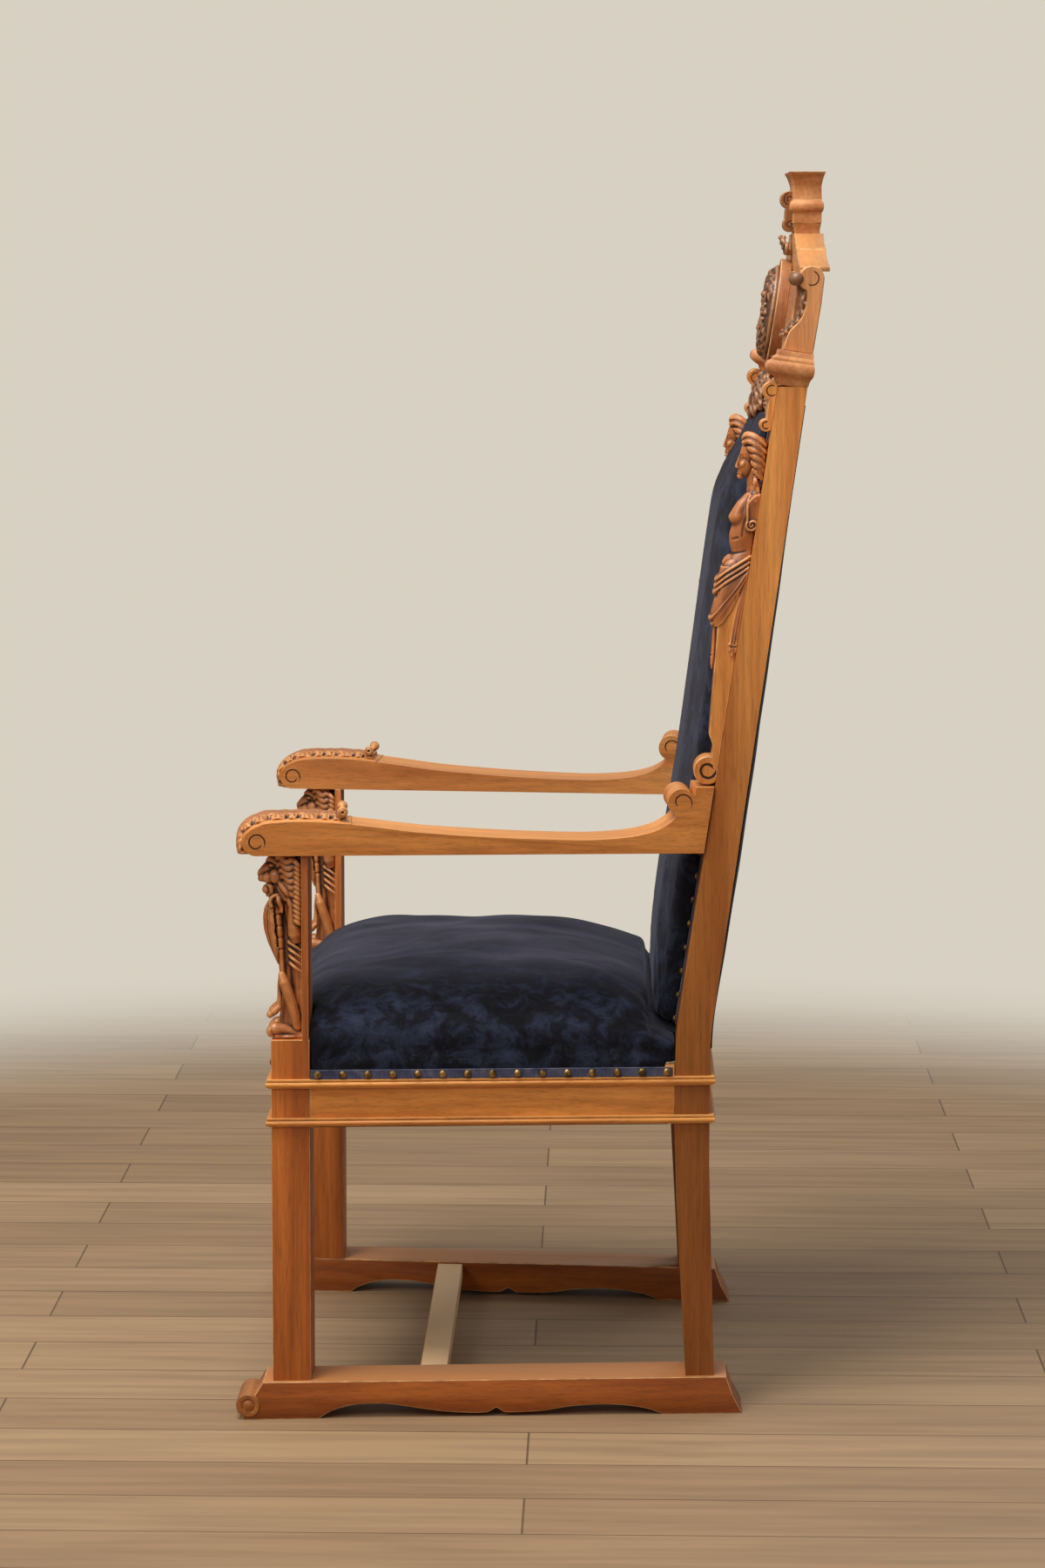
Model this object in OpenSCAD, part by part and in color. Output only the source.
// Throne chair: carved walnut frame on sled runners, velvet seat and back.
// Millimetres. The front of the chair faces -Y, Z is up, and the sitter's left hand is on +X.
// Depths are measured from the middle of the seat frame, heights from the floor.

/* [Overall] */
// Width across the outer faces of the two sides, at the middle of the seat
chair_w = 648; // [610:2:700]
// Angle at which each side turns in towards the back
side_turn = 4.2; // [3.4:0.1:5]
// Running gap round tenons, dowels and soft pieces
fit_gap = 0.3; // [0.2:0.05:0.5]

/* [Runners] */
// Width of a runner
runner_w = 72; // [66:1:80]
// Height of a runner
runner_h = 46; // [42:1:54]
// From the middle of the seat forward to the centre of the toe roll
toe_front = 292; // [282:1:304]
// Radius of the toe roll
toe_r = 14; // [11:0.5:15]
// From the middle of the seat back to the tip of the rear foot
heel_back = 310; // [298:1:322]
// Flat under the front of a runner
front_foot_l = 86; // [76:1:96]
// Flat under the back of a runner
rear_foot_l = 97; // [86:1:106]
// Height of the front arch cut under a runner
front_arch_h = 18; // [12:0.5:22]
// Height of the rear arch cut under a runner
rear_arch_h = 13; // [10:0.5:18]

/* [Floor stretcher] */
// Depth of the stretcher board
stretcher_d = 34; // [28:1:44]
// Thickness of the stretcher board
stretcher_t = 18; // [14:1:24]
// From the middle of the seat forward to the middle of the stretcher
stretcher_front = 70; // [20:1:120]
// How far the top of the stretcher lies below the top of the runners
stretcher_drop = 3; // [1:0.5:8]

/* [Posts] */
// Width of a front or rear post, across the chair
post_w = 66; // [60:1:70]
// From the middle of the seat forward to the front face of the front posts
front_face = 262; // [252:1:270]
// Depth of a front post
front_post_d = 46; // [40:1:52]
// Height of the top of the block in which a front post ends
block_top = 467; // [455:1:480]
// Thickness of the strip that runs up behind a lion
strip_t = 8; // [6:0.5:12]
// From the middle of the seat back to the middle of a rear post, at the seat
rear_post_mid = 246; // [236:1:254]
// Depth of a rear post at the seat
rear_post_d = 42; // [38:1:48]
// Depth of a rear post at its foot and at its top
rear_post_end_d = 35; // [31:1:38]
// How far the foot of a rear post stands back
foot_kick = 11.5; // [6:0.5:16]
// Angle at which the back leans
rake = 8.2; // [6:0.1:10]
// Height over which a rear post bends into its lean
bend_h = 60; // [50:1:80]

/* [Seat frame] */
// Height of the underside of the seat rails
rail_z = 361.5; // [345:0.5:380]
// Height of the lower moulding
lower_bead_h = 10.5; // [8:0.5:13]
// Height of the flat between the two mouldings
rail_flat_h = 36.5; // [30:0.5:44]
// Height of the upper moulding
upper_bead_h = 11; // [9:0.5:13]
// Height of the tacking edge above the upper moulding
tack_h = 14; // [13:0.5:18]
// How far the tacking edge is set in from the face of the rails
tack_in = 6; // [4:0.5:8]
// Thickness of a seat rail
rail_t = 30; // [26:1:36]
// How far the mouldings stand out from the rails
bead_out = 7; // [5:0.5:9]

/* [Arms] */
// Height of the underside of the arms
arm_z = 692; // [675:1:710]
// Width of an arm
arm_w = 72; // [66:1:80]
// Thickness of an arm over the lions
arm_t = 41; // [37:0.5:46]
// Thickness of an arm where it is thinnest
arm_waist_t = 17.5; // [15:0.5:22]
// From the middle of the seat forward to the tip of the arm
arm_tip = 294.5; // [288:0.5:296]
// Radius of the scroll at the back of an arm
arm_scroll_r = 16; // [13:0.5:18]
// Height of the block with which an arm meets the rear post
arm_block_h = 80; // [72:1:88]
// Thickness of the carved leaf over the front of an arm
leaf_t = 8; // [5:0.5:10]
// Length of the carved leaf
leaf_l = 132; // [110:1:150]

/* [Back] */
// Height of the top of the rear posts, under their caps
cap_z = 1250; // [1210:1:1280]
// Height of a post cap
cap_h = 41; // [36:1:46]
// How far a post cap stands out to the front
cap_front = 17; // [13:0.5:20]
// Height of the scrolled ear above a post cap
ear_h = 100; // [88:1:112]
// Depth of an ear at its foot
ear_d = 36; // [32:1:40]
// Width of the carved figure's pilaster
herm_w = 42; // [38:1:43]
// How far the pilaster is set in from the outer side of the post
herm_set = 5; // [3:0.5:5]
// Height of the pilaster, from its foot scroll to the figure
herm_h = 240; // [220:1:250]
// How far the pilaster stands out from the post
herm_out = 31; // [26:0.5:34]
// Depth of the rails across the back
back_rail_d = 26; // [20:1:32]
// Height of the lower rail across the back
low_rail_h = 44; // [34:1:54]
// Height of the upper rail across the back
top_rail_h = 51; // [44:1:60]

/* [Crest] */
// Thickness of the crest rail
crest_t = 36; // [30:1:40]
// How far the crest rail stands back from the lean of the posts
crest_set = 8; // [2:0.5:9]
// Height of the crest rail above the crest board
crest_rail_h = 46; // [40:1:54]
// Thickness of the crest board
board_t = 22; // [16:1:28]
// Height of the crest board above the post caps
board_h = 95; // [88:1:104]
// Height of the cornice on the crest
cornice_h = 75.5; // [66:0.5:84]
// Half width of the cornice
cornice_half = 74; // [64:1:84]
// Half width of the cartouche
cartouche_half_w = 60; // [50:1:70]
// Half height of the cartouche
cartouche_half_h = 68; // [60:1:72]
// How far the cartouche hangs below the tops of the post caps
cartouche_low = 28; // [22:1:34]
// Depth of the cartouche at its rim
cartouche_rim_d = 14; // [10:0.5:18]
// How far the middle of the cartouche bulges past its rim
cartouche_bulge = 14; // [8:0.5:18]

/* [Upholstery] */
// Height of the crown of the seat above the tacking edge
seat_crown = 122; // [110:1:150]
// Height of the shoulder of the seat above the tacking edge
seat_shoulder = 88; // [70:1:100]
// Thickness of the back pad at its middle
pad_t = 42; // [32:1:52]
// Height of the lower edge of the back pad above the seat frame
pad_low = 52; // [46:1:64]
// Width of the woven gimp
gimp_w = 11.5; // [9:0.5:13]
// Thickness of the woven gimp
gimp_t = 1.6; // [1:0.1:2]
// Diameter of a nail head
nail_d = 9.5; // [8:0.5:11]
// Distance between the nails round the seat
seat_nail_step = 29; // [24:0.5:36]
// Distance between the nails round the back
back_nail_step = 27; // [22:0.5:34]
// How far the outside back bulges
outback_bulge = 9; // [4:0.5:12]
// How far the dust cover sags
dust_sag = 4; // [2:0.5:8]
// Number of springs each way under the seat
spring_count = 3; // [2:1:4]
// Width of a strap of webbing
strap_w = 50; // [40:1:60]

/* [Hidden] */
$fn = 48;

walnut = "#a8683a";
carved = "#7a4524";
velvet = "#1d2740";
braid = "#22345e";
brass = "#8c7442";

// Every level of the seat frame follows from the underside of the rails
flat_z = rail_z + lower_bead_h;
upper_z = flat_z + rail_flat_h;
seat_z = upper_z + upper_bead_h;
tack_z = seat_z + tack_h;
arm_top_z = arm_z + arm_t;
canvas_t = 2;
cushion_z = tack_z + canvas_t + fit_gap;

// Every piece of a side lies at a distance in from the outer plane of that side
face_in = bead_out;
post_in = face_in + post_w;
post_mid_in = face_in + post_w / 2;
herm_in = face_in + herm_set + herm_w / 2;
front_post_back = front_face - front_post_d;
rear_face = rear_post_mid + rear_post_d / 2;
rear_post_front = rear_post_mid - rear_post_d / 2;
skirt_in = face_in - 3;
strip_front = -front_post_back - strip_t - 1;

// The posts' lean continues through everything above them
lean_x = atan(tan(rake) * sin(side_turn));
cap_top_z = cap_z + cap_h * cos(rake);
crest_z = cap_top_z + board_h;
cornice_z = crest_z + crest_rail_h;
crest_back = post_mid_y(crest_z) + crest_t / 2 + crest_set;
crest_front = crest_back - crest_t;

// The origin lies below the middle of the whole depth, from the toe rolls to the cornice
cornice_lap = 2;
middle_y = (crest_back + cornice_lap - toe_front - toe_r) / 2;

// A tenon is a third of its rail, and enters half of its post
tenon_l = 20;
tenon_t = rail_t / 3;
tenon_side = 10;
foot_tenon_h = 24;
dowel_d = 10;
dowel_l = 24;

// Plan and profile helpers

// Distance from the middle of the chair to a plane of a side, at one depth
function plane_x(inset, y) = chair_w / 2 - inset / cos(side_turn) - y * tan(side_turn);

// Middle line of a rear post: kicked back at the foot, upright at the seat, then leaning
function post_mid_y(z) =
    z < rail_z ? rear_post_mid + foot_kick * pow((rail_z - z) / (rail_z - runner_h), 1.6) :
    z < tack_z ? rear_post_mid :
    z < tack_z + bend_h ? rear_post_mid + pow(z - tack_z, 2) / (2 * bend_h) * tan(rake) :
    rear_post_mid + (z - tack_z - bend_h / 2) * tan(rake);

// Half depth of a rear post: thinner at the foot and towards the top
function post_half(z) =
    z < rail_z ? (rear_post_end_d + (rear_post_d - rear_post_end_d)
        * (z - runner_h) / (rail_z - runner_h)) / 2 :
    z < tack_z ? rear_post_d / 2 :
    (rear_post_d - (rear_post_d - rear_post_end_d) * (z - tack_z) / (cap_z - tack_z)) / 2;

function post_front(z) = post_mid_y(z) - post_half(z);
function post_back(z) = post_mid_y(z) + post_half(z);

// Smooth curve through a few points, with n steps in each span
function through(a, b, c, d, t) = 0.5 * (2 * b + (c - a) * t + (2 * a - 5 * b + 4 * c - d) * t * t
    + (3 * b - a - 3 * c + d) * t * t * t);
function curve(p, n) = concat([for (i = [0 : len(p) - 2]) for (j = [0 : n - 1])
    through(p[max(i - 1, 0)], p[i], p[i + 1], p[min(i + 2, len(p) - 1)], j / n)],
    [p[len(p) - 1]]);
function reversed(p) = [for (i = [len(p) - 1 : -1 : 0]) p[i]];

// Moves a piece to the shared origin, mirrored for the right side
module placed(side = 1) {
    translate([0, -middle_y, 0]) mirror([side < 0 ? 1 : 0, 0, 0]) children();
}

// The turned frame of a side: x = 0 is its outer plane, and x is negative inside
module on_side() {
    translate([chair_w / 2, 0, 0]) rotate([0, 0, side_turn]) children();
}

// An outline of depth and height, given a thickness across the chair
module across(x0, x1) {
    translate([x0, 0, 0]) rotate([90, 0, 90]) linear_extrude(x1 - x0) children();
}

// An outline of depth and height on a side, from one inset to another
module side_slab(inset, w) {
    on_side() across(-inset - w, -inset) children();
}

// A bar along a side, with its ends parallel to the front of the chair
module side_bar(inset, w, y0, y1, z0, z1) {
    translate([0, 0, z0]) linear_extrude(z1 - z0) polygon([
        [plane_x(inset, y0), y0], [plane_x(inset, y1), y1],
        [plane_x(inset + w, y1), y1], [plane_x(inset + w, y0), y0]]);
}

// A bar across the chair, from side to side
module cross_bar(inset, y0, y1, z0, z1) {
    translate([0, 0, z0]) linear_extrude(z1 - z0) polygon([
        [-plane_x(inset, y0), y0], [plane_x(inset, y0), y0],
        [plane_x(inset, y1), y1], [-plane_x(inset, y1), y1]]);
}

// Things that stand on the front of a rear post follow its lean inward as well
module on_post(z0) {
    translate([plane_x(herm_in, post_front(z0)), 0, z0]) rotate([0, -lean_x, 0])
        translate([0, 0, -z0]) children();
}

// A closed solid between two grids of points that match each other
module between_grids(top, bottom) {
    rows = len(top);
    cols = len(top[0]);
    points = concat([for (r = top) for (p = r) p], [for (r = bottom) for (p = r) p]);
    low = rows * cols;
    faces = concat(
        [for (r = [0 : rows - 2]) for (c = [0 : cols - 2]) for (f = [
            [r * cols + c, (r + 1) * cols + c, (r + 1) * cols + c + 1],
            [r * cols + c, (r + 1) * cols + c + 1, r * cols + c + 1]]) f],
        [for (r = [0 : rows - 2]) for (c = [0 : cols - 2]) for (f = [
            [low + r * cols + c, low + (r + 1) * cols + c + 1, low + (r + 1) * cols + c],
            [low + r * cols + c, low + r * cols + c + 1, low + (r + 1) * cols + c + 1]]) f],
        [for (c = [0 : cols - 2]) for (f = [
            [c, c + 1, low + c + 1], [c, low + c + 1, low + c]]) f],
        [for (c = [0 : cols - 2]) let (b = (rows - 1) * cols + c) for (f = [
            [b + 1, b, low + b], [b + 1, low + b, low + b + 1]]) f],
        [for (r = [0 : rows - 2]) let (b = r * cols) for (f = [
            [b + cols, b, low + b], [b + cols, low + b, low + b + cols]]) f],
        [for (r = [0 : rows - 2]) let (b = r * cols + cols - 1) for (f = [
            [b, b + cols, low + b + cols], [b, low + b + cols, low + b]]) f]);
    polyhedron(points, faces, convexity = 6);
}

// A limb: the skin round two balls, which a taller or wider figure stretches by size
module limb(a, ra, b, rb, size = [1, 1, 1]) {
    hull() {
        translate(a) scale(size) sphere(ra, $fn = 12);
        translate(b) scale(size) sphere(rb, $fn = 12);
    }
}

// Runners and stretcher

// Arch under a runner: fractions of the span against fractions of the arch's height
front_arch = [[0, 0], [0.06, 0.45], [0.16, 0.85], [0.28, 1], [0.4, 0.94], [0.54, 0.67],
    [0.7, 0.38], [0.86, 0.26], [0.95, 0.28]];
rear_arch = [[0.05, 0.36], [0.16, 0.36], [0.3, 0.5], [0.44, 0.86], [0.6, 1], [0.76, 0.92],
    [0.9, 0.55], [1, 0]];
notch_shift = 6;
notch_h = 0.62;

module runner_outline() {
    foot_a = -toe_front + front_foot_l;
    foot_b = heel_back - rear_foot_l;
    notch_y = (foot_a + foot_b) / 2 + notch_shift;
    nose_y = -toe_front + toe_r + 4;
    front = [for (p = curve(front_arch, 3))
        [foot_a + p[0] * (notch_y - foot_a), p[1] * front_arch_h]];
    rear = [for (p = curve(rear_arch, 3))
        [notch_y + p[0] * (foot_b - notch_y), p[1] * rear_arch_h]];
    difference() {
        union() {
            polygon(concat([[-toe_front - 8, 0]], front,
                [[notch_y, notch_h * front_arch_h]], rear,
                [[heel_back, 0], [heel_back - 12, runner_h * 0.5],
                 [heel_back - 20, runner_h], [nose_y, runner_h], [-toe_front, toe_r + 3]]));
            translate([-toe_front, toe_r + 3]) circle(toe_r);
        }
        translate([-toe_front - 2, runner_h]) circle(runner_h - 2 * toe_r - 3);
    }
}

module foot_tenon(mid, depth, gap) {
    inset = post_mid_in - tenon_side - gap;
    side_bar(inset, 2 * (tenon_side + gap), mid - depth / 3 - gap, mid + depth / 3 + gap,
        runner_h - foot_tenon_h - gap, runner_h + 1);
}

module runner(side) {
    color(walnut) placed(side) difference() {
        intersection() {
            across(0, chair_w) runner_outline();
            side_bar(0, runner_w, -toe_front - 2 * toe_r, heel_back + 5, -1, runner_h + 1);
        }
        foot_tenon(-front_face + front_post_d / 2, front_post_d, fit_gap);
        foot_tenon(post_mid_y(runner_h), rear_post_end_d, fit_gap);
        stretcher_tenon(fit_gap);
    }
}

stretcher_z = runner_h - stretcher_drop;

module stretcher_tenon(gap) {
    cross_bar(runner_w - tenon_l - gap, -stretcher_front - stretcher_d / 2 + 5 - gap,
        -stretcher_front + stretcher_d / 2 - 5 + gap,
        stretcher_z - stretcher_t + 5 - gap, stretcher_z - 5 + gap);
}

module floor_stretcher() {
    color("#c08f62") placed() union() {
        cross_bar(runner_w, -stretcher_front - stretcher_d / 2,
            -stretcher_front + stretcher_d / 2, stretcher_z - stretcher_t, stretcher_z);
        stretcher_tenon(0);
    }
}

// Posts and seat rails

module side_rail_tenons(gap) {
    side_bar(face_in + 9 - gap, tenon_t + 2 * gap, -front_post_back - tenon_l - gap,
        -front_post_back + 1, rail_z + 12 - gap, seat_z - 8 + gap);
    side_bar(face_in + 9 - gap, tenon_t + 2 * gap, rear_post_front - 1,
        rear_post_front + tenon_l + gap, rail_z + 12 - gap, seat_z - 8 + gap);
}

module cross_rail_tenons(y0, gap) {
    cross_bar(post_in - tenon_l - gap, y0 + 10 - gap, y0 + 10 + tenon_t + gap,
        rail_z + 12 - gap, seat_z - 8 + gap);
}

rear_rail_front = rear_face - rail_t;

module front_post(side) {
    color(walnut) placed(side) {
        difference() {
            intersection() {
                across(0, chair_w) polygon([[-front_face, runner_h],
                    [-front_post_back, runner_h], [-front_post_back, block_top],
                    [-front_post_back - 1, block_top], [-front_post_back - 1, arm_z],
                    [strip_front, arm_z], [strip_front, block_top], [-front_face, block_top]]);
                side_bar(face_in, post_w, -front_face - 10, 0, runner_h - 1, arm_z + 1);
            }
            side_rail_tenons(fit_gap);
            cross_rail_tenons(-front_face, fit_gap);
        }
        foot_tenon(-front_face + front_post_d / 2, front_post_d, 0);
    }
}

// Heights at which a rear post bends; whatever follows the post bends there too
post_levels = concat([for (i = [0 : 6]) runner_h + (rail_z - runner_h) * i / 6],
    [for (i = [0 : 5]) tack_z + bend_h * i / 5], [cap_z]);
function levels_between(z0, z1) = concat([z0], [for (z = post_levels) if (z > z0 && z < z1) z], [z1]);

module rear_post_outline() {
    polygon(concat([for (z = post_levels) [post_front(z), z]],
        reversed([for (z = post_levels) [post_back(z), z]])));
}

// A layer that follows the middle of the posts, between two distances behind it
module along_back(y0, y1, z0, z1) {
    levels = levels_between(z0, z1);
    polygon(concat([for (z = levels) [post_mid_y(z) + y0, z]],
        reversed([for (z = levels) [post_mid_y(z) + y1, z]])));
}

module rear_post(side) {
    color(walnut) placed(side) {
        difference() {
            intersection() {
                across(0, chair_w / 2) rear_post_outline();
                side_bar(face_in, post_w, 0, 2 * rear_post_mid, runner_h, cap_z);
            }
            side_rail_tenons(fit_gap);
            cross_rail_tenons(rear_rail_front, fit_gap);
            back_rail_tenons(low_rail_z, low_rail_h, fit_gap);
            back_rail_tenons(top_rail_z, top_rail_h, fit_gap);
            arm_dowel_holes();
        }
        foot_tenon(post_mid_y(runner_h), rear_post_end_d, 0);
    }
}

module side_rail(side) {
    color(walnut) placed(side) union() {
        side_bar(face_in, rail_t, -front_post_back, rear_post_front, rail_z, seat_z);
        side_bar(face_in + tack_in, rail_t - tack_in, -front_post_back, rear_post_front,
            seat_z, tack_z);
        intersection() {
            side_rail_tenons(0);
            side_bar(0, post_in, -front_face, rear_face, rail_z, seat_z);
        }
    }
}

module front_rail() {
    color(walnut) placed() union() {
        cross_bar(post_in, -front_face, -front_face + rail_t, rail_z, seat_z);
        cross_bar(post_in, -front_face + tack_in, -front_face + rail_t, seat_z, tack_z);
        cross_rail_tenons(-front_face, 0);
    }
}

module rear_rail() {
    color(walnut) placed() union() {
        cross_bar(post_in, rear_rail_front, rear_face, rail_z, seat_z);
        cross_bar(post_in, rear_rail_front, rear_face - tack_in, seat_z, tack_z);
        cross_rail_tenons(rear_rail_front, 0);
    }
}

// Triangular blocks screwed and glued into the four inner corners of the seat frame
block_l = 40;
block_h = 44;

module corner_blocks() {
    color("#b98a5c") placed() for (side = [-1, 1]) mirror([side < 0 ? 1 : 0, 0, 0]) {
        front_y = -front_post_back;
        x = plane_x(face_in + rail_t, front_y);
        translate([0, 0, rail_z + 8]) linear_extrude(block_h) polygon([
            [plane_x(face_in + rail_t, front_y), front_y],
            [plane_x(face_in + rail_t, front_y + block_l), front_y + block_l],
            [plane_x(post_in + 12, front_y), front_y]]);
        rear_y = rear_post_front;
        translate([0, 0, rail_z + 8]) linear_extrude(block_h) polygon([
            [plane_x(face_in + rail_t, rear_y), rear_y],
            [plane_x(post_in + 2, rear_y), rear_y],
            [plane_x(face_in + rail_t, rear_y - block_l), rear_y - block_l]]);
    }
}

// Mouldings: a bead between two fillets above, a small bead below

// Section of a bead, from 1 mm inside the face of the rail outwards
module bead_outline(h) {
    r = h * 0.3;
    polygon(concat([[-1, 0], [bead_out * 0.5, 0], [bead_out * 0.5, h * 0.1]],
        [for (a = [-80 : 20 : 80]) [bead_out - r + r * cos(a), h * 0.42 + r * sin(a)]],
        [[bead_out * 0.6, h * 0.76], [bead_out * 0.8, h * 0.8], [bead_out * 0.8, h], [-1, h]]));
}

module strip_profiles() {
    translate([0, rail_z]) bead_outline(lower_bead_h);
    translate([0, upper_z]) bead_outline(upper_bead_h);
}

// Corners of the seat frame, some way out from the faces of its rails
function front_corner(out) = [plane_x(face_in - out, -front_face - out), -front_face - out];
function rear_corner(out) = [plane_x(face_in - out, rear_face + out), rear_face + out];
function other_side(p) = [-p[0], p[1]];

// Plan of one strip, mitred at both ends
module mitred(points) {
    translate([0, 0, rail_z - 1]) linear_extrude(seat_z - rail_z + 2) polygon(points);
}

strip_room = bead_out + 1;

module moulding_side(side) {
    color(walnut) placed(side) intersection() {
        on_side() translate([-bead_out, 1.2 * chair_w, 0]) rotate([90, 0, 0])
            linear_extrude(2.4 * chair_w) strip_profiles();
        mitred([front_corner(strip_room), rear_corner(strip_room), rear_corner(0),
            front_corner(0)]);
    }
}

module moulding_front() {
    color(walnut) placed() intersection() {
        translate([-chair_w, -front_face, 0]) rotate([90, 0, 90])
            linear_extrude(2 * chair_w) mirror([1, 0]) strip_profiles();
        mitred([other_side(front_corner(strip_room)), front_corner(strip_room), front_corner(0),
            other_side(front_corner(0))]);
    }
}

module moulding_rear() {
    color(walnut) placed() intersection() {
        translate([-chair_w, rear_face, 0]) rotate([90, 0, 90])
            linear_extrude(2 * chair_w) strip_profiles();
        mitred([other_side(rear_corner(strip_room)), other_side(rear_corner(0)), rear_corner(0),
            rear_corner(strip_room)]);
    }
}

// Seat: webbing, springs, canvas, stuffed cushion

web_t = 2;
web_z = rail_z + 6;
web_front = -front_face + rail_t;
web_back = rear_rail_front;
web_half = plane_x(face_in + rail_t, web_back) - 2;

module seat_webbing() {
    step_x = 2 * web_half / (spring_count + 1);
    step_y = (web_back - web_front) / (spring_count + 1);
    color("#b7a27c") placed() union() {
        for (i = [1 : spring_count]) {
            translate([-web_half + i * step_x - strap_w / 2, web_front, web_z])
                cube([strap_w, web_back - web_front, web_t]);
            cross_bar(face_in + rail_t, web_front + i * step_y - strap_w / 2,
                web_front + i * step_y + strap_w / 2, web_z, web_z + web_t);
        }
    }
}

// A spring's waisted body stands for its coils
spring_r = 34;

module seat_springs() {
    z0 = web_z + web_t;
    h = tack_z - z0;
    step_x = 2 * web_half / (spring_count + 1);
    step_y = (web_back - web_front) / (spring_count + 1);
    side_profile = curve([[1, 0], [0.82, 0.2], [0.66, 0.5], [0.82, 0.8], [1, 1]], 3);
    color("#8a8a8a") placed() for (i = [1 : spring_count]) for (j = [1 : spring_count])
        translate([-web_half + i * step_x, web_front + j * step_y, z0]) rotate_extrude()
            polygon(concat([for (p = side_profile) [p[0] * spring_r, p[1] * h]],
                reversed([for (p = side_profile) [p[0] * spring_r - 4, p[1] * h]])));
}

module spring_canvas() {
    color("#c9b78f") placed() difference() {
        cross_bar(face_in + tack_in, -front_face + tack_in, rear_rail_front + rail_t - tack_in,
            tack_z, tack_z + canvas_t);
        post_clearance();
    }
}

// Room for the four posts, which rise through the corners of the seat
module post_clearance() {
    for (side = [-1, 1]) mirror([side < 0 ? 1 : 0, 0, 0]) {
        side_bar(-chair_w / 4, post_in + chair_w / 4 + fit_gap, -front_face - 60,
            -front_post_back + fit_gap, seat_z - 5, arm_z);
        side_bar(-chair_w / 4, post_in + chair_w / 4 + fit_gap, rear_post_front - fit_gap,
            rear_face + 60, seat_z - 5, arm_z);
    }
}

// One ring of the seat: a rounded outline of the frame, drawn in by inset
cushion_back = rear_face - tack_in - 2;
cushion_sides = 56;
function cushion_ring(inset, f, power, z) = [for (i = [0 : cushion_sides - 1])
    let (a = 360 * i / cushion_sides, c = cos(a), s = sin(a),
        ux = sign(c) * pow(abs(c), 2 / power), uy = sign(s) * pow(abs(s), 2 / power),
        y0 = -front_face + skirt_in - face_in + inset, y1 = cushion_back - inset,
        y = (y0 + y1) / 2 + f * uy * (y1 - y0) / 2)
    [f * ux * plane_x(skirt_in + inset, y), y, z]];

// A lofted closed solid through rings of points, pinched shut at both ends
module loft(rings, low_tip, high_tip) {
    n = len(rings[0]);
    k = len(rings);
    points = concat([for (r = rings) for (p = r) p], [low_tip, high_tip]);
    faces = concat(
        [for (r = [0 : k - 2]) for (i = [0 : n - 1]) let (j = (i + 1) % n) for (f = [
            [r * n + i, r * n + n + i, r * n + n + j], [r * n + i, r * n + n + j, r * n + j]]) f],
        [for (i = [0 : n - 1]) [i, (i + 1) % n, n * k]],
        [for (i = [0 : n - 1]) [(k - 1) * n + (i + 1) % n, (k - 1) * n + i, n * k + 1]]);
    polyhedron(points, faces, convexity = 4);
}

module seat_cushion() {
    mid_y = (cushion_back - front_face) / 2;
    shoulder_z = tack_z + seat_shoulder;
    crown = seat_crown - seat_shoulder;
    walls = [
        [0, seat_z + fit_gap], [0, gimp_z + gimp_w + 1], [-4, seat_z + 45], [-2.5, seat_z + 66],
        [3, seat_z + 82], [12, shoulder_z - 6]];
    crown_steps = [0.94, 0.86, 0.74, 0.58, 0.38, 0.18];
    rings = concat([for (w = walls) cushion_ring(w[0], 1, 9, w[1])],
        [for (f = crown_steps) cushion_ring(12, f, 3 + 6 * f, shoulder_z + crown * (1 - pow(f, 2)))]);
    color(velvet) placed() difference() {
        loft(rings, [0, mid_y, seat_z + fit_gap], [0, mid_y, shoulder_z + crown]);
        translate([0, 0, seat_z - 1]) linear_extrude(cushion_z - seat_z + 1) polygon([
            for (p = [[1, 0], [1, 1], [-1, 1], [-1, 0]])
                let (y = p[1] == 0 ? -front_face + tack_in - fit_gap : cushion_back + 20)
                [p[0] * plane_x(face_in + tack_in - fit_gap, y), y]]);
        post_clearance();
        across(-chair_w, chair_w) back_pad_space();
    }
}

// Region that the back pad and the rails behind it take
module back_pad_space() {
    reach = (tack_z + seat_crown + 60 - pad_z) / pad_end;
    fronts = [for (v = pad_vs) if (v < reach) let (z = pad_z + v * pad_end)
        [post_front(z) - pad_depth(v) - 2 * fit_gap, z]];
    polygon(concat([[cushion_back + 40, pad_z - 2 * fit_gap],
        [post_front(pad_z) - pad_edge_t - 2 * fit_gap, pad_z - 2 * fit_gap]], fronts,
        [[cushion_back + 40, fronts[len(fronts) - 1][1]]]));
    polygon([[post_front(seat_z + 20) + 6, seat_z - 2], [cushion_back + 60, seat_z - 2],
        [cushion_back + 60, seat_z + pad_low + 4], [post_front(seat_z + 20) + 6,
        seat_z + pad_low + 4]]);
}

// Gimp and nails round the seat

gimp_z = seat_z + fit_gap;
gimp_in = skirt_in - gimp_t - fit_gap;

module seat_gimp() {
    color(braid) placed() {
        for (side = [-1, 1]) mirror([side < 0 ? 1 : 0, 0, 0])
            side_bar(gimp_in, gimp_t, -front_post_back + 1, rear_post_front - 1, gimp_z,
                gimp_z + gimp_w);
        gimp_y = -front_face + skirt_in - face_in - fit_gap;
        cross_bar(post_in + 1, gimp_y - gimp_t, gimp_y, gimp_z, gimp_z + gimp_w);
    }
}

// A domed nail head, flat at x = 0 and domed towards +x
module nail_head() {
    r = nail_d / 2;
    dome = r * 0.7;
    ball = (r * r + dome * dome) / (2 * dome);
    intersection() {
        translate([dome - ball, 0, 0]) sphere(ball);
        translate([0, -r, -r]) cube([dome, nail_d, nail_d]);
    }
}

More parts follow.
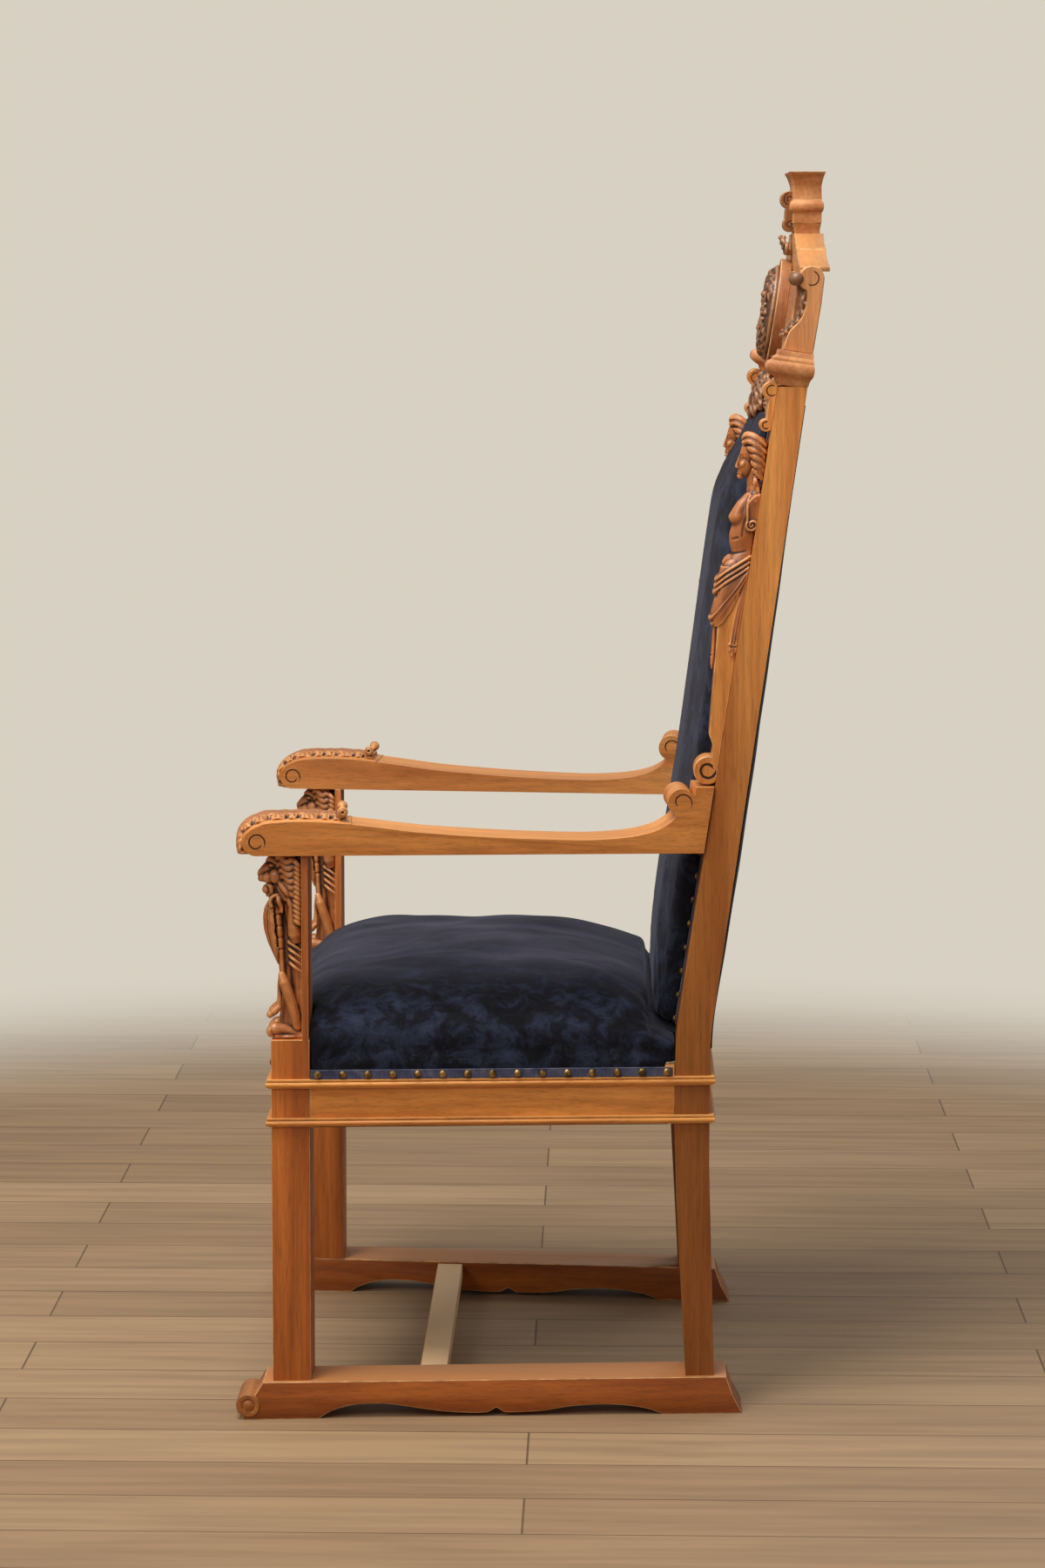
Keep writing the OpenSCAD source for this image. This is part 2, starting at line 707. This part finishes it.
module seat_nails() {
    nail_z = gimp_z + gimp_w / 2;
    side_l = front_post_back + rear_post_front - 2 * nail_d;
    side_count = floor(side_l / seat_nail_step);
    front_half = plane_x(post_in, -front_face) - nail_d;
    front_count = floor(2 * front_half / seat_nail_step);
    color(brass) placed() {
        for (side = [-1, 1]) mirror([side < 0 ? 1 : 0, 0, 0]) for (i = [0 : side_count])
            on_side() translate([-gimp_in,
                -front_post_back + nail_d + i * side_l / side_count, nail_z]) nail_head();
        for (i = [0 : front_count])
            translate([-front_half + i * 2 * front_half / front_count,
                -front_face + skirt_in - face_in - fit_gap - gimp_t, nail_z])
                rotate([0, 0, -90]) nail_head();
    }
}

module dust_cover() {
    steps = 10;
    y0 = -front_face + 3;
    y1 = rear_face - 3;
    function cover(drop) = [for (i = [0 : steps]) let (y = y0 + (y1 - y0) * i / steps)
        [for (j = [0 : steps]) let (u = 2 * j / steps - 1)
            [u * plane_x(face_in + 4, y), y,
             rail_z - drop - dust_sag * (1 - u * u) * sin(180 * i / steps)]]];
    color("#15151a") placed() difference() {
        between_grids(cover(0), cover(1.5));
        for (side = [-1, 1]) mirror([side < 0 ? 1 : 0, 0, 0]) {
            side_bar(0, post_in + fit_gap, -front_face - 5, -front_post_back + fit_gap,
                rail_z - 30, rail_z + 5);
            side_bar(0, post_in + fit_gap, rear_post_front - 6, rear_face + 5,
                rail_z - 30, rail_z + 5);
        }
    }
}

// Arms

scroll_y = post_front(arm_z + arm_block_h / 2) - 34;
scroll_z = arm_z + arm_block_h - 2 - arm_scroll_r;
block_y = scroll_y + 15;

// Top line of an arm, from above the nose to the foot of the rear scroll
arm_l = arm_tip + scroll_y;
arm_line = curve([
    [-arm_tip + 11, arm_z + arm_t * 0.78], [-arm_tip + 31, arm_z + arm_t * 0.97],
    [-arm_tip + arm_l * 0.14, arm_top_z + 1], [-arm_tip + arm_l * 0.285, arm_z + arm_t * 0.88],
    [-arm_tip + arm_l * 0.56, arm_z + arm_t * 0.54 + 0.5],
    [-arm_tip + arm_l * 0.76, arm_z + arm_waist_t],
    [scroll_y - 46, arm_z + arm_waist_t + 5], [scroll_y - 16, arm_z + arm_waist_t + 18],
    [scroll_y - 6, scroll_z - 10]], 5);

module arm_body() {
    nose_r = arm_t * 0.33;
    nose_z = arm_z + nose_r + 4;
    side_slab(0, arm_w) polygon(concat(arm_line, [[block_y, scroll_z],
        [block_y, arm_z + arm_block_h], [rear_face + 40, arm_z + arm_block_h],
        [rear_face + 40, arm_z], [-arm_tip + nose_r, arm_z]]));
    side_slab(0, arm_w) translate([-arm_tip + nose_r + 2, nose_z]) circle(nose_r + 2);
    side_slab(0, arm_w) translate([scroll_y, scroll_z]) circle(arm_scroll_r);
}

// Everything behind the front face of a rear post
module behind_post(gap) {
    levels = [arm_z - post_w, cap_z + post_w];
    polygon(concat([for (z = levels) [post_front(z) - gap, z]],
        [[rear_face + chair_w, levels[1]], [rear_face + chair_w, levels[0]]]));
}

module arm(side) {
    color(walnut) placed(side) difference() {
        arm_body();
        across(0, chair_w) behind_post(0.1);
        cross_bar(post_in - fit_gap, min(post_front(arm_z) - pad_t - 8,
            scroll_y - arm_scroll_r - arm_w * sin(side_turn) - 1), 2 * rear_face,
            arm_z - 1, arm_z + arm_block_h + 1);
        arm_dowel_holes();
    }
}

dowel_low = 20;
dowel_high = 50;

module arm_dowel(gap) {
    for (h = [dowel_low, dowel_high]) let (z = arm_z + h)
        translate([plane_x(post_mid_in, post_front(z)), post_front(z), z])
            rotate([90 - rake, 0, 0]) translate([0, 0, -dowel_l / 2 - gap])
            cylinder(h = dowel_l + 2 * gap, d = dowel_d + 2 * gap);
}

module arm_dowel_holes() {
    arm_dowel(fit_gap / 2);
}

module arm_dowels() {
    color("#c9a06c") placed() for (side = [-1, 1]) mirror([side < 0 ? 1 : 0, 0, 0]) arm_dowel(0);
}

// Carved leaf that wraps the front of an arm: a shell over its top line
module arm_leaf(side) {
    steps = 22;
    cols = 8;
    nose = curve([[-arm_tip - 1, arm_z + arm_t * 0.42], [-arm_tip + 1, arm_z + arm_t * 0.62],
        [-arm_tip + 11, arm_z + arm_t * 0.86], [-arm_tip + 31, arm_z + arm_t + 1],
        [-arm_tip + 74, arm_top_z + 2.4], [-arm_tip + leaf_l, arm_z + arm_t * 0.93 + 2]], 5);
    n = len(nose) - 1;
    function shell(lift) = [for (i = [0 : n]) let (t = i / n,
        a = nose[max(i - 1, 0)], b = nose[min(i + 1, n)], d = b - a, l = norm(d),
        out = [-d[1] / l, d[0] / l],
        half = (arm_w / 2 - 3) * (1 - 0.42 * t * t) * (1 - 0.05 * cos(t * 1440)))
        [for (j = [0 : cols]) let (u = 2 * j / cols - 1,
            up = lift * leaf_t * (0.3 + 0.7 * (1 - u * u)) * (1 - 0.35 * t))
            [-arm_w / 2 + u * half, nose[i][0] + out[0] * up, nose[i][1] + out[1] * up]]];
    color(carved) placed(side) on_side() between_grids(shell(1), shell(0));
}

// Carved figures

// Seated lion between the block of the front post and the arm. Its limbs are drawn
// for one height and one width of post, and grow with both
module lion(side) {
    wide = post_w / 66;
    h = arm_z - block_top;
    size = [wide, wide, h / 225];
    x = plane_x(post_mid_in, -front_face + 18);
    y = -front_post_back - strip_t - 1;
    function at(dx, dy, f) = [x + wide * dx, y + wide * dy, block_top + f * h];
    color(carved) placed(side) intersection() {
        union() {
            limb(at(0, -20, 0.9), 21, at(0, -18, 0.74), 21, size);
            limb(at(0, -30, 0.875), 14, at(0, -42, 0.86), 10, size);
            limb(at(0, -30, 0.82), 9, at(0, -38, 0.8), 7.5, size);
            limb(at(0, -16, 0.7), 21, at(0, -12, 0.36), 15, size);
            for (m = [-1, 1]) {
                limb(at(m * 20, -12, 0.6), 9, at(m * 20, -32, 0.76), 7, size);
                limb(at(m * 17, -38, 0.69), 8, at(m * 17, -36, 0.5), 9, size);
                limb(at(m * 17, -36, 0.5), 8, at(m * 14, -28, 0.38), 6, size);
                limb(at(m * 15, -8, 0.16), 17, at(m * 15, -20, 0.33), 10, size);
                limb(at(m * 14, -26, 0.3), 7, at(m * 14, -30, 0.14), 7, size);
                limb(at(m * 14, -34, 0.05), 9, at(m * 14, -6, 0.05), 11, size);
            }
        }
        side_bar(face_in - 1, post_w + 2, y - 56 * wide, y - fit_gap / 2, block_top + fit_gap / 2,
            arm_z - fit_gap / 2);
    }
}

herm_z = arm_z + arm_block_h + 2;
herm_top = herm_z + herm_h;

module herm(side) {
    roll_r = 17;
    roll_y = post_front(herm_z + roll_r) - 12;
    color(walnut) placed(side) on_post(herm_z) across(-herm_w / 2, herm_w / 2) difference() {
        union() {
            polygon([[roll_y, herm_z + roll_r], [post_front(herm_z) + 40, herm_z + 2],
                [post_front(herm_top) + 40, herm_top], [post_front(herm_top) - herm_out, herm_top],
                [post_front(herm_z + 60) - herm_out * 0.55, herm_z + 60],
                [post_front(herm_z + 46) - 10, herm_z + 46], [roll_y + 4, herm_z + 2 * roll_r - 2]]);
            translate([roll_y, herm_z + roll_r]) circle(roll_r);
        }
        behind_post(fit_gap / 2);
    }
}

// Figure of a draped woman whose lower body is the pilaster, drawn as the lions are
console_room = 56;

module caryatid(side) {
    z0 = herm_top;
    h = cap_z - console_room - z0;
    wide = herm_w / 42;
    size = [wide, wide, h / 180];
    function at(dx, out, f) = [wide * dx, post_front(z0 + f * h) - wide * out, z0 + f * h];
    color(carved) placed(side) on_post(herm_z) difference() {
        union() {
            limb(at(0, 12, 0.84), 19, at(0, 10, 0.9), 18, size);
            limb(at(0, 11, 0.72), 10, at(0, 8, 0.6), 12, size);
            limb(at(-16, 6, 0.58), 11, at(16, 6, 0.58), 11, size);
            limb(at(-9, 22, 0.5), 11, at(-8, 14, 0.3), 12, size);
            limb(at(9, 22, 0.5), 11, at(8, 14, 0.3), 12, size);
            limb(at(0, 12, 0.56), 14, at(0, 16, 0.3), 16, size);
            limb(at(0, 16, 0.3), 16, at(0, 18, 0.12), 20, size);
            limb(at(0, 20, 0.1), 20, at(0, 18, -0.06), 18, size);
        }
        across(-post_w, post_w) behind_post(fit_gap / 2);
        across(-post_w, post_w) translate([0, herm_z - chair_w])
            square([2 * rear_face, chair_w + herm_h]);
    }
}

// Double scroll between the figure's head and the post cap
console_top = cap_z - 1;
console_low = cap_z - 46;

module console_outline(gap) {
    union() {
        translate([post_front(console_top) - 7, console_top - 4]) circle(11 + gap);
        translate([post_front(console_low) - 7, console_low]) circle(7.5 + gap);
        polygon([[post_front(console_low) - 8 - gap, console_low - 6],
            [post_front(console_low) + 30, console_low - 6],
            [post_front(console_top) + 30, console_top + gap],
            [post_front(console_top) - 9 - gap, console_top + gap],
            [post_front(cap_z - 26) - 8 - gap, cap_z - 26]]);
    }
}

module console(side) {
    color(walnut) placed(side) on_post(herm_z) across(-herm_w / 2, herm_w / 2) difference() {
        console_outline(0);
        behind_post(fit_gap / 2);
    }
}

// Post caps and ears

// Leaning frame at the top of a rear post
module on_cap() {
    z0 = cap_z;
    translate([plane_x(post_mid_in, post_mid_y(z0)), post_mid_y(z0), z0])
        rotate([-rake, -lean_x, 0]) children();
}

// One edge of a cap, as distance out from the post's middle against height
function cap_edge(half, out) = let (h = cap_h) concat([[half, 0]],
    curve([[half + out * 0.12, h * 0.06], [half + out * 0.3, h * 0.2],
        [half + out * 0.72, h * 0.3]], 4),
    [for (a = [-80 : 20 : 80]) [half + out * 0.72 + out * 0.28 * cos(a),
        h * 0.48 + h * 0.17 * sin(a)]],
    [[half + out * 0.62, h * 0.68], [half + out * 0.62, h * 0.76],
     [half + out * 0.34, h * 0.84], [half + out * 0.3, h]]);

// A section with one edge on its high side and another, mirrored, on its low side
module two_edges(high, low) {
    polygon(concat(high, reversed([for (p = low) [-p[0], p[1]]])));
}

module post_cap(side) {
    half_d = rear_post_end_d / 2;
    half_w = post_w / 2 - 1;
    rear_out = 5;
    color(walnut) placed(side) difference() {
        on_cap() intersection() {
            across(-post_w, post_w) two_edges(cap_edge(half_d, rear_out),
                cap_edge(half_d, cap_front));
            translate([0, post_w * 1.5, 0]) rotate([90, 0, 0]) linear_extrude(3 * post_w)
                two_edges(cap_edge(half_w, 8), cap_edge(half_w, 8));
        }
        translate([0, 0, cap_z - 60]) cube([chair_w, 2 * chair_w, 60]);
        on_post(herm_z) across(-herm_w / 2 - fit_gap, herm_w / 2 + fit_gap)
            console_outline(fit_gap);
    }
}

ear_half_w = 25;

module ear(side) {
    half = ear_d / 2;
    roll_r = 12;
    color(walnut) placed(side) on_cap() translate([0, 0, cap_h])
        across(-ear_half_w, ear_half_w) union() {
        translate([half - roll_r - 3, ear_h - roll_r]) circle(roll_r + 3);
        polygon(concat([[half, 0], [half + 1, ear_h * 0.6], [half, ear_h - roll_r]],
            [[half - 2 * roll_r - 3, ear_h - roll_r - 3]],
            curve([[half - 18, ear_h * 0.72], [half - 17, ear_h * 0.55],
                [half - 21, ear_h * 0.38], [-half + 4, ear_h * 0.22], [-half, 0]], 4)));
    }
}

// Frame of the back, between the rear posts

low_rail_z = seat_z + 26;
top_rail_z = cap_z - top_rail_h;

module back_rail_tenons(z0, h, gap) {
    for (side = [-1, 1]) mirror([side < 0 ? 1 : 0, 0, 0]) intersection() {
        across(0, chair_w / 2) polygon([for (p = [[-1, 0], [-1, 1], [1, 1], [1, 0]])
            let (z = z0 + 8 - gap + p[1] * (h - 16 + 2 * gap))
            [post_mid_y(z) + p[0] * (tenon_t / 2 + gap), z]]);
        side_bar(post_in - tenon_l - gap, tenon_l + 2, 0, 2 * rear_post_mid, z0, z0 + h);
    }
}

module back_rail(z0, h) {
    union() {
        intersection() {
            across(-chair_w / 2, chair_w / 2)
                along_back(-back_rail_d / 2, back_rail_d / 2, z0, z0 + h);
            cross_bar(post_in, 0, 2 * rear_post_mid, z0, z0 + h);
        }
        back_rail_tenons(z0, h, 0);
    }
}

module back_low_rail() {
    color(walnut) placed() back_rail(low_rail_z, low_rail_h);
}

module back_top_rail() {
    color(walnut) placed() back_rail(top_rail_z, top_rail_h);
}

web_lift = 0.1;

module back_webbing() {
    half = plane_x(post_in, post_mid_y(pad_top)) - 3;
    color("#b7a27c") placed() for (i = [-1.5 : 1 : 1.5])
        across(i * half * 0.5 - strap_w / 2, i * half * 0.5 + strap_w / 2) along_back(
            -back_rail_d / 2 - web_t - web_lift, -back_rail_d / 2 - web_lift, low_rail_z, pad_top);
}

// Back pad: full in the middle, turned back to the posts all round
pad_edge_in = post_in + 2 * fit_gap;
pad_z = seat_z + pad_low;
pad_top = cap_z - 42;
pad_end = pad_top - pad_z;
pad_edge_t = 5;
pad_vs = [for (i = [-11 : 11]) (1 + sin(90 * i / 11)) / 2];

// Depth of the pad's middle line, from its lower edge (0) to its upper edge (1)
function pad_depth(v) = let (e = min(v, 1 - v) * pad_end / 70)
    e >= 1 ? pad_t : e <= 0 ? pad_edge_t :
    pad_edge_t + (pad_t - pad_edge_t) * pow(1 - pow(1 - e, 2.4), 1 / 2.4);

function pad_roll(u) = let (e = (1 - abs(u)) * 5.5)
    e >= 1 ? 1 : e <= 0 ? 0 : pow(1 - pow(1 - e, 2.2), 1 / 2.2);

module back_pad() {
    us = [for (i = [-8 : 8]) sin(90 * i / 8)];
    web_y = -back_rail_d / 2 - web_t - web_lift - fit_gap;
    function face(front) = [for (v = pad_vs) let (z = pad_z + v * pad_end) [for (u = us)
        let (thick = pad_edge_t + (pad_depth(v) - pad_edge_t) * pad_roll(u) * (1 - 0.1 * u * u))
        [u * plane_x(pad_edge_in, post_front(z)),
         front ? post_front(z) - thick : post_mid_y(z) + web_y, z]]];
    color(velvet) placed() between_grids(face(true), face(false));
}

// The gimp runs up the inner edge of each rear post, and stops at the arm
gimp_runs = [[pad_z, arm_z - 1], [arm_z + arm_block_h + 1, pad_top]];

module back_gimp() {
    color(braid) placed() for (side = [-1, 1]) mirror([side < 0 ? 1 : 0, 0, 0])
        for (run = gimp_runs) let (levels = levels_between(run[0], run[1])) intersection() {
            across(0, chair_w / 2) polygon(concat(
                [for (z = levels) [post_front(z) - gimp_t - gimp_lift, z]],
                reversed([for (z = levels) [post_front(z) - gimp_lift, z]])));
            side_bar(post_in - gimp_w, gimp_w, 0, 2 * rear_post_mid, run[0], run[1]);
        }
}
gimp_lift = 0.2;

module back_nails() {
    color(brass) placed() for (side = [-1, 1]) mirror([side < 0 ? 1 : 0, 0, 0])
        for (run = gimp_runs) let (l = run[1] - run[0] - nail_d - 4, n = floor(l / back_nail_step))
            for (i = [0 : n]) let (z = run[0] + nail_d / 2 + 2 + i * l / n,
                y = post_front(z) - gimp_t - gimp_lift - 0.4)
                translate([plane_x(post_in - gimp_w / 2, y), y, z]) rotate([0, 0, -90])
                    rotate([0, -rake * min(1, (z - tack_z) / bend_h), 0]) nail_head();
}

module outside_back() {
    z0 = low_rail_z - 4;
    z1 = top_rail_z + 28;
    us = [for (i = [-5 : 5]) i / 5];
    vs = [for (i = [0 : 14]) i / 14];
    function sheet(on) = [for (v = vs) let (z = z0 + v * (z1 - z0)) [for (u = us)
        [u * plane_x(post_in - 14, post_back(z)),
         post_back(z) + fit_gap + on * (2 + outback_bulge * (1 - u * u * u * u)
            * pow(sin(180 * pow(v, 0.7)), 0.8)), z]]];
    color(velvet) placed() between_grids(sheet(0), sheet(1));
}

// Crest: board between the ears, rail, cornice, keystone and cartouche

// Frame of the crest board: h runs up the lean from the tops of the posts
module leaning() {
    translate([0, post_mid_y(cap_z), cap_z]) rotate([90 - rake, 0, 0]) children();
}

cap_inner_in = post_in + 9;
ear_inner_in = post_mid_in + ear_half_w + 0.3;
function lean_half(inset, h) = plane_x(inset, post_mid_y(cap_z) + h * sin(rake));

// Board: narrow between the caps, wide between the ears
module crest_board() {
    top = (crest_z - cap_z) / cos(rake) + board_t;
    right = [[lean_half(cap_inner_in, 0), -board_t], [lean_half(cap_inner_in, cap_h), cap_h + fit_gap],
        [lean_half(ear_inner_in, cap_h), cap_h + fit_gap], [lean_half(ear_inner_in, top), top]];
    color(walnut) placed() intersection() {
        leaning() translate([0, 0, -board_t / 2]) linear_extrude(board_t)
            polygon(concat(right, reversed([for (p = right) [-p[0], p[1]]])));
        translate([-chair_w / 2, 0, cap_z]) cube([chair_w, chair_w, crest_z - cap_z]);
    }
}

// Front outline of the crest rail: two rolled shoulders on each side of the cornice
module crest_outline() {
    w = plane_x(ear_inner_in, crest_back) - 1;
    h = crest_rail_h;
    step = cornice_half + (w - cornice_half) * 0.36;
    right = concat([[w, 0], [w, h * 0.12]],
        curve([[w - 12, h * 0.16], [w - 38, h * 0.24], [step + 14, h * 0.48], [step, h * 0.56]], 4),
        curve([[step, h * 0.6], [step - 8, h * 0.66], [step - 24, h * 0.74],
            [cornice_half + 4, h * 0.96], [cornice_half - 4, h]], 4));
    polygon(concat(right, reversed([for (p = right) [-p[0], p[1]]])));
}

module crest_rail() {
    color(walnut) placed() translate([0, crest_back, crest_z]) rotate([90, 0, 0])
        linear_extrude(crest_t) crest_outline();
}

// One edge of the cornice, as distance out from its middle against height
function cornice_edge(half, out) = let (h = cornice_h) concat(
    [[half, 0], [half, h * 0.03]],
    curve([[half + out * 0.04, h * 0.08], [half + out * 0.22, h * 0.16]], 3),
    [[half + out * 0.3, h * 0.17], [half + out * 0.3, h * 0.33]],
    [for (a = [-80 : 20 : 80]) [half + out * 0.36 + out * 0.34 * cos(a),
        h * 0.44 + h * 0.09 * sin(a)]],
    [[half + out * 0.3, h * 0.55], [half + out * 0.22, h * 0.76]],
    curve([[half + out * 0.3, h * 0.8], [half + out * 0.56, h * 0.9], [half + out, h]], 3));

cornice_front = cornice_edge(crest_t / 2 - 2, 9);

module crest_cornice() {
    color(walnut) placed() translate([0, crest_back - crest_t / 2, cornice_z]) intersection() {
        across(-chair_w / 2, chair_w / 2) two_edges(
            cornice_edge(crest_t / 2 - 4, 4 + cornice_lap), cornice_front);
        translate([0, 2 * crest_t, 0]) rotate([90, 0, 0]) linear_extrude(4 * crest_t)
            two_edges(cornice_edge(cornice_half - 14, 14), cornice_edge(cornice_half - 14, 14));
    }
}

// Scrolled keystone on the front of the cornice and of the crest rail
module crest_keystone() {
    mid = crest_back - crest_t / 2;
    top = cornice_z + cornice_h * 0.7;
    low = cornice_z + 2;
    color(walnut) placed() across(-17, 17) difference() {
        union() {
            translate([crest_front - 4, top - 11]) circle(11);
            translate([crest_front - 3, low + 9]) circle(9);
            polygon([[crest_front - 10, low + 4], [mid, low], [mid, top - 2],
                [crest_front - 4, top], [crest_front - 9, (low + top) / 2]]);
        }
        translate([mid, cornice_z]) polygon(concat([[10, 0]],
            [for (p = cornice_front) [-p[0] - fit_gap / 2, p[1]]], [[10, cornice_h]]));
        translate([crest_front - chair_w, low - chair_w]) square([2 * chair_w, chair_w]);
    }
}

// Frame of the cartouche: its back lies on the crest board
cartouche_h = (cap_top_z - cartouche_low - cap_z) / cos(rake) + cartouche_half_h;
cartouche_top_z = cap_z + (cartouche_h + cartouche_half_h) * cos(rake) + 20 * sin(rake);

module on_board() {
    leaning() translate([0, cartouche_h, board_t / 2]) children();
}

function oval(f, h, n) = [for (i = [0 : n - 1]) let (a = 360 * i / n)
    [f * cartouche_half_w * cos(a), f * cartouche_half_h * sin(a), h]];

// Convex oval panel
module cartouche() {
    steps = [0.86, 0.72, 0.52, 0.28];
    rings = concat([oval(0.88, 0.15, 40), oval(0.88, cartouche_rim_d - 3, 40)],
        [for (f = steps) oval(f, cartouche_rim_d - 3 + (cartouche_bulge + 3) * (1 - f * f), 40)]);
    color(carved) placed() difference() {
        on_board() loft(rings, [0, 0, 0.15], [0, 0, cartouche_rim_d + cartouche_bulge]);
        crest_rail_space();
    }
}

// Raised rim round the panel
module cartouche_rim() {
    color(walnut) placed() difference() {
        on_board() translate([0, 0, 0.15]) linear_extrude(cartouche_rim_d) difference() {
            polygon([for (p = oval(1, 0, 72)) [p[0], p[1]]]);
            polygon([for (p = oval(0.885, 0, 72)) [p[0], p[1]]]);
        }
        crest_rail_space();
    }
}

// Room for the top rail, in front of which nothing of the crest is sunk
module top_rail_space() {
    across(-chair_w, chair_w)
        along_back(-back_rail_d / 2 - 0.15, chair_w, top_rail_z - 1, cap_z + 0.5);
}

module board_space() {
    leaning() translate([-chair_w, -board_t, -post_w])
        cube([2 * chair_w, chair_w, post_w + board_t / 2 + 0.15]);
}

module crest_rail_space() {
    translate([-chair_w, crest_front - 0.2, crest_z - 0.2]) cube([2 * chair_w, chair_w, chair_w]);
}

// Small carved crown between the cartouche and the keystone
module cartouche_crown() {
    z0 = cartouche_top_z + 1;
    y0 = crest_front - 1;
    h = cornice_z - z0;
    grow = h / 30;
    size = [grow, grow, grow];
    color(carved) placed() difference() {
        for (m = [-1, 0, 1]) limb([m * 9 * grow, y0 - 5 * grow, z0 + 2 * grow], 9,
            [m * 15 * grow, y0 - 8 * grow, cornice_z - 8 * grow], 7, size);
        crest_rail_space();
        translate([-chair_w / 2, y0 - chair_w / 2, z0 - chair_w]) cube([chair_w, chair_w, chair_w]);
    }
}

// Carved leaves on the top rail, between the two double scrolls
module crest_pendant() {
    h = cap_top_z - cartouche_low - pad_top;
    half = plane_x(post_in, post_mid_y(cap_z)) * 2 / 3;
    wide = half / 150;
    tall = h / 54.6;
    size = [wide, tall, tall];
    function at(x, f, out) = let (z = pad_top + f * h)
        [x * wide, post_mid_y(z) - back_rail_d / 2 - out * tall, z];
    color(carved) placed() difference() {
        union() {
            for (m = [-1, 1]) {
                limb(at(m * 14, 0.7, 6), 13, at(m * 90, 0.72, 4), 9, size);
                limb(at(m * 88, 0.72, 4), 9, at(m * 150, 0.5, 2), 7, size);
                limb(at(m * 60, 0.6, 6), 11, at(m * 16, 0.35, 6), 11, size);
            }
            limb(at(0, 0.72, 8), 15, at(0, 0.15, 2), 8, size);
        }
        top_rail_space();
        board_space();
        translate([-chair_w, 0, 0]) cube([2 * chair_w, 2 * chair_w, pad_top + 0.5]);
        on_board() translate([0, 0, -1]) linear_extrude(chair_w)
            polygon([for (p = oval(1.01, 0, 72)) [p[0], p[1]]]);
    }
}

runner(1);  // runner_left
runner(-1);  // runner_right
floor_stretcher();
front_post(1);  // front_post_left
front_post(-1);  // front_post_right
rear_post(1);  // rear_post_left
rear_post(-1);  // rear_post_right
side_rail(1);  // side_rail_left
side_rail(-1);  // side_rail_right
front_rail();
rear_rail();
corner_blocks();
moulding_side(1);  // moulding_left
moulding_side(-1);  // moulding_right
moulding_front();
moulding_rear();
seat_webbing();
seat_springs();
spring_canvas();
seat_cushion();
seat_gimp();
seat_nails();
dust_cover();
arm(1);  // arm_left
arm(-1);  // arm_right
arm_leaf(1);  // arm_leaf_left
arm_leaf(-1);  // arm_leaf_right
arm_dowels();
lion(1);  // lion_left
lion(-1);  // lion_right
herm(1);  // herm_left
herm(-1);  // herm_right
caryatid(1);  // caryatid_left
caryatid(-1);  // caryatid_right
console(1);  // console_left
console(-1);  // console_right
post_cap(1);  // post_cap_left
post_cap(-1);  // post_cap_right
ear(1);  // ear_left
ear(-1);  // ear_right
back_low_rail();
back_top_rail();
back_webbing();
back_pad();
back_gimp();
back_nails();
outside_back();
crest_board();
crest_rail();
crest_cornice();
crest_keystone();
cartouche();
cartouche_rim();
cartouche_crown();
crest_pendant();
